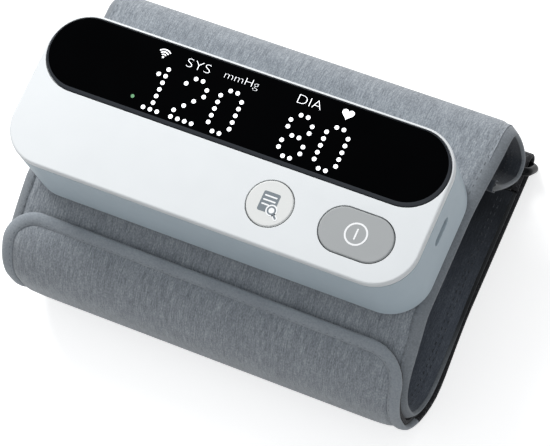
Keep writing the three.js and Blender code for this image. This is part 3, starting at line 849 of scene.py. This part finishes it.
RING = {"wire": 1.5, "half": 73.6, "corner": 3.2, "upper": (43.6, 13.6), "lower": (49.4, 4.1)}
WRAP = 4.1
TAIL_RISE = 10
TAIL_RUN = 10.4
FLAP_TOP_RUN = 7.3                # straight end of the flap, past the shoulder's bend
FLAP_BENT_AT = 60                 # degrees of the front bend below the line where the flap peels
rise = radians(TAIL_RISE)
tail_top = (RING["lower"][0] - WRAP * sin(rise), RING["lower"][1] + WRAP * cos(rise))
tail = FabricPath(tail_top[0] - TAIL_RUN * cos(rise), tail_top[1] - TAIL_RUN * sin(rise), TAIL_RISE)
tail.line(TAIL_RUN)
tail.arc(WRAP, -(180 + TAIL_RISE))
tail.line(tail.tip[1] - bottom_start_y)
bend_start = tail.tip[0]
tail.arc(FRONT_RADIUS + TAIL_DEPTH, -FLAP_BENT_AT)
flap_root = tail.tip
tail.arc(FRONT_RADIUS + TAIL_DEPTH, FLAP_BENT_AT - 90)
tail.line(front_height)
tail.arc(SHOULDER_RADIUS + TAIL_DEPTH, -(90 - SHOULDER_SLOPE))
tail.line(FLAP_TOP_RUN)
flap_end = tail.tip[0]
TAIL_HALF = 73
FLAP_CORNER = 13
FLAP_HINGE = (-50.78, 10.96)      # (y, z) of the line where the flap starts to peel
HOOK_HALF = 71.4                  # of the hook tape under the band; it is wider on the flap
HINGE_REACH = 3.2                 # length each way from the hinge line


def mapper(path, side):
    """Place in space of a point of the flat cloth: x, distance along it, and depth from its outer face.

    The side is 1 where the inner face is on the path's left, and -1 where it is on the right.
    """
    def place(x, s, depth):
        y, z, heading = path.at(s)
        return x, y - side * depth * sin(heading), z + side * depth * cos(heading)
    return place


def smooth(value):
    value = min(1.0, max(0.0, value))
    return value * value * (3 - 2 * value)


def on_tail(x, s, depth):
    """The tail is drawn in a little under the band, and the flap is laid down slightly askew."""
    laid = smooth((s - bend_start + 5) / 30)
    drawn = 0.02 * x * (1 - smooth((s - bend_start + 30) / 38))
    askew = 0.01 * x * smooth((s - flap_root[0] - 8) / 40)
    return mapper(tail, -1)(x - drawn - 1.0 * laid, s - askew, depth)


EDGE_SPREAD = 1.9


def on_band(x, s, depth):
    """The edges spread a little: the left one over the shoulder, the right one round the curl."""
    shoulder = (top_end + front_start) / 2 + 4
    left = EDGE_SPREAD * smooth((-x - 58) / 14) * smooth(1 - abs(s - shoulder) / 34)
    right = EDGE_SPREAD * smooth((x - 58) / 14) * smooth((top_start + 30 - s) / 34)
    drawn = 0.014 * x * smooth((s - bottom_start) / 40)
    return mapper(band, 1)(x + right - left - drawn, s, depth)


def cloth_looks():
    """Looks that change along the cloth, with painted light and shade: the lining is painted lighter over
    the front and darker towards the back of the lower run, the band's edge tape is painted darker in the
    curl and along the lower run, and the tail is painted black where it lies in shade under the band."""
    looks = {
        "tail_fabric": heather("tail_fabric", *CUFF_SHADES, contrast=1.15),
        "band_binding": tape("band_binding", *BAND_TAPE_SHADES),
        "lining_dark": heather("lining_dark", *LINING_SHADES, contrast=0.8, rib=0.035, fuzz=0.2),
    }
    # Painted shade: the tail is painted black where it runs under the band.
    looks["tail_fabric"].shade(bend_start + 2, bend_start + 4, before=0.04)
    # Painted shade: the band's edge tape is painted darker at its inner end, in the curl, and along the lower
    # run.
    looks["band_binding"].shade(4, 18, before=0.3).shade(bottom_start - 4, bottom_start + 24, after=0.12)
    # Painted light: the lining is painted about twice as light from the shoulder on, where light comes in
    # through the opening.
    looks["lining_dark"].shade(top_end, front_start, after=2.1)
    # Painted shade: the lining is painted darker towards the back of the lower run, under the curl.
    looks["lining_dark"].shade(bottom_start + 24, band_length - 8, after=0.25)
    return {name: look.material for name, look in looks.items()}


LOOKS.update(cloth_looks())


# ---- cloth ----
def cloth_relief(half_width, length, cell, pinned, limit, pressure, growth, seed):
    """Height map, in millimetres, of a flat cloth that is pinned where pinned(x, s) is true.

    The cloth is simulated ten times life size, grows a little so that it puckers, and is blown out
    gently. Returns a function of x and s.
    """
    columns, rows = ceil(2 * half_width / cell) + 1, ceil(length / cell) + 1
    xs, ss = np.linspace(-half_width, half_width, columns), np.linspace(0, length, rows)
    heights = simulate(xs, ss, pinned, pressure, growth, seed)
    heights = limit * (1 - np.exp(-np.clip(heights, 0, None) / limit))

    def relief(x, s):
        u = min(max((x + half_width) / (2 * half_width), 0), 1) * (columns - 1)
        v = min(max(s / length, 0), 1) * (rows - 1)
        i, j = min(int(v), rows - 2), min(int(u), columns - 2)
        du, dv = u - j, v - i
        low = heights[i][j] * (1 - du) + heights[i][j + 1] * du
        high = heights[i + 1][j] * (1 - du) + heights[i + 1][j + 1] * du
        return float(low * (1 - dv) + high * dv)

    return relief


CLOTH_SCALE = 0.01
CLOTH_FRAMES = 22


def simulate(xs, ss, pinned, pressure, growth, seed):
    random = np.random.default_rng(seed)
    points = [(x * CLOTH_SCALE, s * CLOTH_SCALE, random.uniform(0, 0.002)) for s in ss for x in xs]
    columns, rows = len(xs), len(ss)
    faces = [(i * columns + j, i * columns + j + 1, (i + 1) * columns + j + 1, (i + 1) * columns + j)
             for i in range(rows - 1) for j in range(columns - 1)]
    mesh = bpy.data.meshes.new("cloth")
    mesh.from_pydata(points, [], faces)
    piece = add_object("cloth", mesh)
    pins = piece.vertex_groups.new(name="pins")
    held = [i * columns + j for i, s in enumerate(ss) for j, x in enumerate(xs) if pinned(x, s)]
    pins.add(held, 1, "REPLACE")
    modifier = piece.modifiers.new("Cloth", "CLOTH")
    modifier.point_cache.frame_start, modifier.point_cache.frame_end = 1, CLOTH_FRAMES
    settings = modifier.settings
    settings.vertex_group_mass = "pins"
    settings.quality = 5
    settings.mass = 0.3
    settings.tension_stiffness = settings.compression_stiffness = 18
    settings.shear_stiffness = 6
    settings.bending_stiffness = 0.35
    settings.use_pressure = True
    settings.uniform_pressure_force = pressure
    settings.shrink_min = -growth
    settings.effector_weights.gravity = 0
    modifier.collision_settings.use_collision = False
    scene = bpy.context.scene
    for number in range(1, CLOTH_FRAMES + 1):
        scene.frame_set(number)
    result = piece.evaluated_get(bpy.context.evaluated_depsgraph_get()).to_mesh()
    heights = np.array([v.co.z for v in result.vertices]).reshape(rows, columns) / CLOTH_SCALE
    scene.frame_set(1)
    bpy.data.objects.remove(piece)
    return heights


def cloth_piece(name, rows, look, body=ROOT, slot=None, smooth_angle=50):
    """Closed sheet from rows of (near points, far points, flat coordinates)."""
    bm = bmesh.new()
    flat = bm.loops.layers.uv.new("cloth")
    grid, place = [], {}
    for near, far, coordinates in rows:
        made_near = [bm.verts.new(p) for p in near]
        made_far = [bm.verts.new(p) for p in far]
        for vertices in (made_near, made_far):
            place.update(zip(vertices, coordinates))
        grid.append((made_near, made_far))
    count = len(grid[0][0])
    for (near, far), (next_near, next_far) in zip(grid, grid[1:]):
        for j in range(count - 1):
            bm.faces.new((near[j], near[j + 1], next_near[j + 1], next_near[j]))
            bm.faces.new((far[j + 1], far[j], next_far[j], next_far[j + 1]))
        bm.faces.new((far[0], near[0], next_near[0], next_far[0]))
        bm.faces.new((near[-1], far[-1], next_far[-1], next_near[-1]))
    for near, far in (grid[0], grid[-1]):
        for j in range(count - 1):
            bm.faces.new((near[j], far[j], far[j + 1], near[j + 1]))
    for face in bm.faces:
        for loop in face.loops:
            x, s = place[loop.vert]
            loop[flat].uv = (x / 100, s / 100)
    return finish_piece(name, bm, look, body=body, slot=slot, smooth=smooth_angle)


def sheet_rows(place, stations, columns, half_width, near, far):
    """Rows of a sheet whose two faces lie at depths near(x, s) and far(x, s)."""
    rows = []
    for s in stations:
        half = half_width(s)
        xs = [half * u for u in columns]
        faces = [[place(x, s, depth(x, s)) for x in xs] for depth in (near, far)]
        rows.append((*faces, [(x, s) for x in xs]))
    return rows


def edge_rows(place, spine, sections):
    """Rows of a tape round an edge, from its outer and inner section. The spine is (x, s, direction
    inwards)."""
    rows = []
    for x, s, into_x, into_s in spine:
        faces = [[place(x + into_x * inset, s + into_s * inset, depth) for inset, depth in section]
                 for section in sections]
        rows.append((*faces, [(x + into_x * inset, s + into_s * inset) for inset, _ in sections[0]]))
    return rows


def distances(line):
    """Distance along a line of points up to each of them."""
    return np.concatenate(([0.0], np.cumsum([apart(a, b) for a, b in zip(line, line[1:])])))


def densify(line, step=1.0):
    """The same line with a point at every step."""
    distance = distances(line)
    places = np.arange(0, distance[-1], step)
    return list(zip(*[np.interp(places, distance, values) for values in zip(*line)]))


STITCH = {"pitch": 2.7, "length": 1.75, "radius": 0.17, "sides": 6, "steps": 4}


def make_stitches(name, place, line, depth, sink=1, look="stitch", body=ROOT):
    """Row of stitches along a dense line of (x, s); their ends sink into the cloth."""
    distance = distances(line)
    xs, ss = zip(*line)

    def on_line(reach):
        return np.interp(reach, distance, xs), np.interp(reach, distance, ss)

    shell = Shell()
    turns = [tau * k / STITCH["sides"] for k in range(STITCH["sides"])]
    start = STITCH["pitch"] / 2
    while start + STITCH["length"] < distance[-1]:
        rings = []
        for i in range(STITCH["steps"] + 1):
            t = i / STITCH["steps"]
            here = start + t * STITCH["length"]
            x, s = on_line(here)
            dx, ds = direction((x, s), on_line(here + 0.05))
            size = STITCH["radius"] * (0.45 if i in (0, STITCH["steps"]) else 1)
            sunk = depth + sink * 0.24 * (2 * t - 1) ** 4
            ring = []
            for a in turns:
                aside, down = size * cos(a), size * sin(a)
                ring.append(shell.bm.verts.new(place(x - ds * aside, s + dx * aside, sunk - down)))
            rings.append(ring)
        shell.strip(*rings)
        shell.bm.faces.new(list(reversed(rings[0])))
        shell.bm.faces.new(rings[-1])
        start += STITCH["pitch"]
    return finish_piece(name, shell.bm, look, body=body, slot="stitch", smooth=80)


def even_columns(count):
    return list(np.linspace(-1, 1, count))


def rimmed_columns(count, half, rims):
    """Even columns, and one at each of the distances in rims from either edge."""
    return sorted({*even_columns(count), *[side * (half - rim) / half for side in (-1, 1) for rim in rims]})


SIDES = (("left", -1), ("right", 1))
SEAM = 4.2                        # inset of the seam from each bound edge
LINING_FROM = 64                  # beyond this |x| the layers draw together towards the rim


def lining_near(x):
    return 2.8 - 0.42 * smooth((abs(x) - LINING_FROM) / 7)


def lining_far(x):
    return lining_near(x) + 0.7 - 0.25 * smooth((abs(x) - LINING_FROM) / 7)


# Sections of the edge tapes, as (inset from the edge, depth): outer face, then inner face.
BAND_TAPE = (
    [(SEAM, 0.14), (3.8, -0.1), (3.0, -0.08), (2.1, 0.3), (1.3, 0.85), (0.6, 1.4), (0.15, 1.85),
     (0, 2.2), (0.12, 2.5), (0.5, 2.75), (1.1, 2.85)],
    [(SEAM, 0.48), (3.7, 0.26), (3.0, 0.3), (2.25, 0.65), (1.5, 1.15), (0.85, 1.65), (0.48, 2.0),
     (0.42, 2.2), (0.5, 2.34), (0.75, 2.44), (1.1, 2.48)],
)
END_TAPE = (
    [(SEAM, 0.1), (3.7, -0.16), (2.4, -0.26), (1.0, -0.2), (0.1, 0.2), (-0.25, 1.2), (-0.25, 2.4),
     (0.1, 3.3), (1.0, 3.8), (2.4, 3.95), (3.7, 3.85), (SEAM, 3.6)],
    [(SEAM, 0.44), (3.6, 0.2), (2.4, 0.1), (1.2, 0.14), (0.5, 0.4), (0.2, 1.3), (0.2, 2.3),
     (0.5, 3.1), (1.2, 3.45), (2.4, 3.55), (3.6, 3.5), (SEAM, 3.35)],
)
FLAP_TAPE = (
    [(SEAM, 0.16), (3.8, -0.2), (2.7, -0.45), (1.4, -0.35), (0.5, -0.02), (0.05, 0.45), (0.05, 0.9),
     (0.4, 1.25), (0.9, 1.42), (1.4, 1.5), (1.9, 1.52)],
    [(SEAM, 0.5), (3.7, 0.2), (2.7, 0.0), (1.5, 0.05), (0.85, 0.25), (0.5, 0.55), (0.5, 0.8),
     (0.75, 0.95), (1.1, 1.07), (1.5, 1.12), (1.9, 1.14)],
)


def make_band():
    def pinned(x, s):
        under_monitor = top_start + 13 < s < top_end + 8 and abs(x) < 71.5
        return abs(x) > CUFF_HALF - SEAM or s < 3 or s > front_start - 12 or under_monitor

    relief = cloth_relief(CUFF_HALF - SEAM, band_length, 3.0, pinned, limit=0.7, pressure=1.2,
                          growth=0.012, seed=3)

    def outer_near(x, s):
        shown = smooth((front_start + 6 - s) / 16)
        groove = 0.5 * smooth((abs(x) - (CUFF_HALF - SEAM - 1.3)) / 1.7)
        return groove - relief(x, s) * shown

    width = CUFF_HALF - 2.8       # the fabric ends inside the edge tapes
    columns = rimmed_columns(67, width, (0.5, 1, 1.5, 2, 2.5, 3))
    stations = band.stations(0.3, band_length, 3.0, 5.0)
    rows = sheet_rows(on_band, stations, columns, lambda s: width, outer_near, lambda x, s: 0.75)
    outer = cloth_piece("cuff_band", rows, "cuff_fabric")
    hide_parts("cuff_outer_fabric")

    lining_half = CUFF_HALF - 1.2
    bends = [side * x / lining_half for side in (-1, 1) for x in np.arange(LINING_FROM, lining_half, 0.8)]
    lining_columns = sorted({*even_columns(41), *bends})

    def inner_near(x, s):
        return lining_near(x)

    def inner_far(x, s):
        ripple = 0.05 * sin(s * 0.55 + 0.02 * x) * sin(x * 0.11)
        return lining_far(x) + ripple * (1 - smooth((abs(x) - 55) / 8))

    stations = band.stations(0.6, band_length, 3.5, 6.0)
    rows = sheet_rows(on_band, stations, lining_columns, lambda s: lining_half, inner_near, inner_far)
    lining = cloth_piece("cuff_inner_lining", rows, "lining_dark")
    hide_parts("cuff_lining")

    tapes, seams = [], []
    for label, side in SIDES:
        spine = [(side * CUFF_HALF, s, -side, 0) for s in band.stations(0.0, band_length, 4.0, 5.0)]
        rows = edge_rows(on_band, spine, BAND_TAPE)
        tapes.append(cloth_piece(f"band_edge_{label}", rows, "band_binding", slot="binding_grey"))
        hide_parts(f"edge_binding_{label}")
        line = [(side * (CUFF_HALF - SEAM + 0.6), s) for s in np.arange(2, front_start + 4, 1.0)]
        seams.append(make_stitches(f"band_stitches_{label}", on_band, line, -0.12))
        for row, inset in enumerate((SEAM, SEAM + 1.3)):
            x = side * (CUFF_HALF - inset)
            line = [(x, s) for s in np.arange(2, band_length - 2, 1.0)]
            name, under = f"lining_stitches_{label}_{row + 1}", lining_far(x) + 0.03
            seams.append(make_stitches(name, on_band, line, under, sink=-1, look="stitch_dark"))
    # Painted shade: the tape across the inner end takes the dark lining look instead of the grey binding, to
    # sit in the shade of the curl.
    end_spine = [(x, 0.0, 0, 1) for x in np.linspace(-CUFF_HALF + 0.6, CUFF_HALF - 0.6, 30)]
    rows = edge_rows(on_band, end_spine, END_TAPE)
    end = cloth_piece("band_edge_inner_end", rows, "lining_dark", slot="binding_grey")
    flat_size(lining)
    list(tapes)
    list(seams)


def flat_size(piece):
    """Width and length of a sheet piece, from its cloth coordinates and its mesh's area."""
    flats = [tuple(item.uv) for item in piece.data.uv_layers["cloth"].data]
    width = (max(u for u, _ in flats) - min(u for u, _ in flats)) * 0.1
    area = sum(face.area for face in piece.data.polygons) / 2
    return width, area / width


def flap_half(s, inset=0.0):
    radius, end = FLAP_CORNER - inset, flap_end - inset
    past = min(radius, max(0.0, s - (end - radius)))
    return TAIL_HALF - inset - (radius - sqrt(max(0.0, radius * radius - past * past)))


def flap_stations(start, inset):
    radius, end = FLAP_CORNER - inset, flap_end - inset
    rounded = [end - radius + radius * sin(radians(a)) for a in (12, 24, 36, 48, 58, 68, 77, 85, 90)]
    straight = [s for s in tail.stations(start, end, 2.5, 5.0) if s < end - radius - 0.4]
    return sorted({*straight, end - radius, *rounded})


def tail_stations(start, straight, inset):
    """Places from start to the end of the flap, coarse under the band and fine round the corners."""
    under = [s for s in tail.stations(start, bend_start, straight, 10.0) if s < bend_start - 0.5]
    return [*under, *flap_stations(bend_start, inset)]


def flap_spine(start):
    """Free edge of the flap, from one side round its end to the other."""
    centre_s, centre_x = flap_end - FLAP_CORNER, TAIL_HALF - FLAP_CORNER
    right = [(TAIL_HALF, s, -1, 0) for s in tail.stations(start, centre_s, 3.0, 5.0)]
    corner = []
    for i in range(1, 10):
        a = radians(9 * i)
        corner.append((centre_x + FLAP_CORNER * cos(a), centre_s + FLAP_CORNER * sin(a), -cos(a), -sin(a)))
    across = [(x, flap_end, 0, -1) for x in np.linspace(centre_x, -centre_x, 34)]
    left = [(-x, s, -into_x, into_s) for x, s, into_x, into_s in reversed(right + corner)]
    return right + corner + across + left


def make_tail():
    grey_from = bend_start + 17

    def pinned(x, s):
        s = s + bend_start
        return abs(x) > flap_half(s, SEAM + 0.5) or s < bend_start + 6 or s > flap_end - SEAM - 0.5

    length = flap_end - bend_start
    relief = cloth_relief(TAIL_HALF - SEAM, length, 2.4, pinned, limit=0.9, pressure=1.6,
                          growth=0.014, seed=8)

    def to_seam(x, s):
        return min(flap_half(s, SEAM) - abs(x), flap_end - SEAM - s)

    def near(x, s):
        if s < bend_start:
            return 0.0
        groove = 0.52 * smooth((1.3 - to_seam(x, s)) / 1.7)
        return groove * smooth((s - bend_start) / 5) - relief(x, s - bend_start)

    def far(x, s):
        return 1.6 - 0.48 * smooth((2 - to_seam(x, s)) / 2)

    tuck = 2.6                    # the fabric ends inside the edge tape
    columns = rimmed_columns(69, TAIL_HALF - tuck, (0.6, 1.2, 1.8, 2.4, 3.2))
    rows = sheet_rows(on_tail, tail_stations(0, 5.0, tuck), columns, lambda s: flap_half(s, tuck), near, far)
    cover = cloth_piece("tail_and_flap", rows, "tail_fabric", body=None, slot="cuff_fabric")
    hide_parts("tail_strip", "flap_panel")

    rows = edge_rows(on_tail, flap_spine(grey_from), FLAP_TAPE)
    rim = cloth_piece("flap_edge", rows, "binding_grey", body=None)
    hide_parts("flap_binding")

    flatter = [[(inset, max(depth, least)) for inset, depth in section]
               for section, least in zip(FLAP_TAPE, (0.0, 0.4))]
    # Painted shade: the tail's edge tape is black up to where the grey flap tape starts, for its shaded edge
    # under the band.
    for label, side in SIDES:
        spine = [(side * TAIL_HALF, s, -side, 0) for s in tail.stations(0.5, grey_from - 0.2, 5.0, 10.0)]
        rows = edge_rows(on_tail, spine, flatter)
        cloth_piece(f"tail_edge_{label}", rows, "hook_black")

    inset = SEAM - 0.8
    seam = [(x + into_x * inset, s + into_s * inset) for x, s, into_x, into_s in flap_spine(grey_from)]
    stitches = make_stitches("flap_stitches", on_tail, densify(seam), -0.16, body=None)

    hook_inset = 0.7

    def hook_half(s):
        widest = flap_half(s, hook_inset)
        return min(widest, HOOK_HALF + (widest - HOOK_HALF) * smooth((s - flap_root[0] + 4) / 14))

    stations = tail_stations(TAIL_RUN + 40, 6.0, hook_inset)
    rows = sheet_rows(on_tail, stations, even_columns(31), hook_half, lambda x, s: 1.75, lambda x, s: 3.1)
    hook = cloth_piece("hook_tape", rows, "hook_black", body=None)
    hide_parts("tail_hook_strip", "flap_hook_strip")

    heading = (cos(flap_root[3]), sin(flap_root[3]))
    start, end = [[(at + reach * part) * MM for at, part in zip(FLAP_HINGE, heading)]
                  for reach in (-HINGE_REACH, HINGE_REACH)]
    for piece in (cover, rim, stitches, hook):
        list(start)
        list(end)
        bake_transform(piece)
    flat_size(cover)
    flat_size(hook)


# ---- ring and its sleeve ----
def make_ring():
    low, high = RING["lower"], RING["upper"]
    width, across = apart(low, high), direction(low, high)
    centre = ((high[0] + low[0]) / 2, (high[1] + low[1]) / 2)
    spine = outline(0, 0, 2 * RING["half"], width, RING["corner"], steps=10)
    sides = 20
    turns = [tau * k / sides for k in range(sides)]
    shell = Shell()
    rings = []
    for i, (x, v) in enumerate(spine):
        ahead = direction(spine[i - 1], spine[(i + 1) % len(spine)])
        out = (ahead[1], -ahead[0])
        ring = []
        for a in turns:
            outwards, up = RING["wire"] * cos(a), RING["wire"] * sin(a)
            px, pv = x + outwards * out[0], v + outwards * out[1]
            y = centre[0] + pv * across[0] - up * across[1]
            z = centre[1] + pv * across[1] + up * across[0]
            ring.append(shell.bm.verts.new((px, y, z)))
        rings.append(ring)
    shell.strip(*rings, rings[0])
    piece = finish_piece("draw_ring", shell.bm, "ring_black", body="ring", smooth=60)
    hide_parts("d_ring")


def chaikin(points, rounds=2):
    """Open line with its corners cut off, over and over."""
    for _ in range(rounds):
        cut = [points[0]]
        for a, b in zip(points, points[1:]):
            cut.append((0.75 * a[0] + 0.25 * b[0], 0.75 * a[1] + 0.25 * b[1]))
            cut.append((0.25 * a[0] + 0.75 * b[0], 0.25 * a[1] + 0.75 * b[1]))
        points = [*cut, points[-1]]
    return points


SLEEVE_HALF = 62
SLEEVE_TOP = 19.7                 # where the sleeve is sewn to the foot of the curl


def make_sleeve():
    """Strap folded round the ring's upper bar and sewn to the foot of the curl."""
    y0, z0 = RING["upper"]
    radius = RING["wire"] + GAP + 0.8
    turns = [radians(a) for a in range(115, 426, 10)]
    top_z = SLEEVE_TOP - z0
    loop = [(radius * cos(a), radius * sin(a)) for a in turns]
    outer = chaikin([(-0.9, top_z), (-0.9, 3.6), *loop, (0.9, 3.6), (0.9, top_z)])
    thickness = 0.75
    xs = [SLEEVE_HALF * u for u in even_columns(41)]
    rows = []
    for i, ((y, z), along) in enumerate(zip(outer, distances(outer))):
        dy, dz = direction(outer[max(i - 1, 0)], outer[min(i + 1, len(outer) - 1)])
        inner_y, inner_z = y - thickness * dz, z + thickness * dy
        near = [(x, y0 + y, z0 + z) for x in xs]
        far = [(x, y0 + inner_y, z0 + inner_z) for x in xs]
        rows.append((near, far, [(x, along) for x in xs]))
    # The sleeve takes the lining's dark colour: partly its own dark strap, partly painted shade under the
    # curl.
    piece = cloth_piece("ring_sleeve", rows, "lining_dark")
    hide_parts("d_ring_sleeve")
    flat_size(piece)


make_camera()
make_stage()
dress_cad()
make_cover()
make_housing()
make_window()
make_buttons()
make_display_marks()
make_icons()
make_band()
make_ring()
make_tail()
make_sleeve()
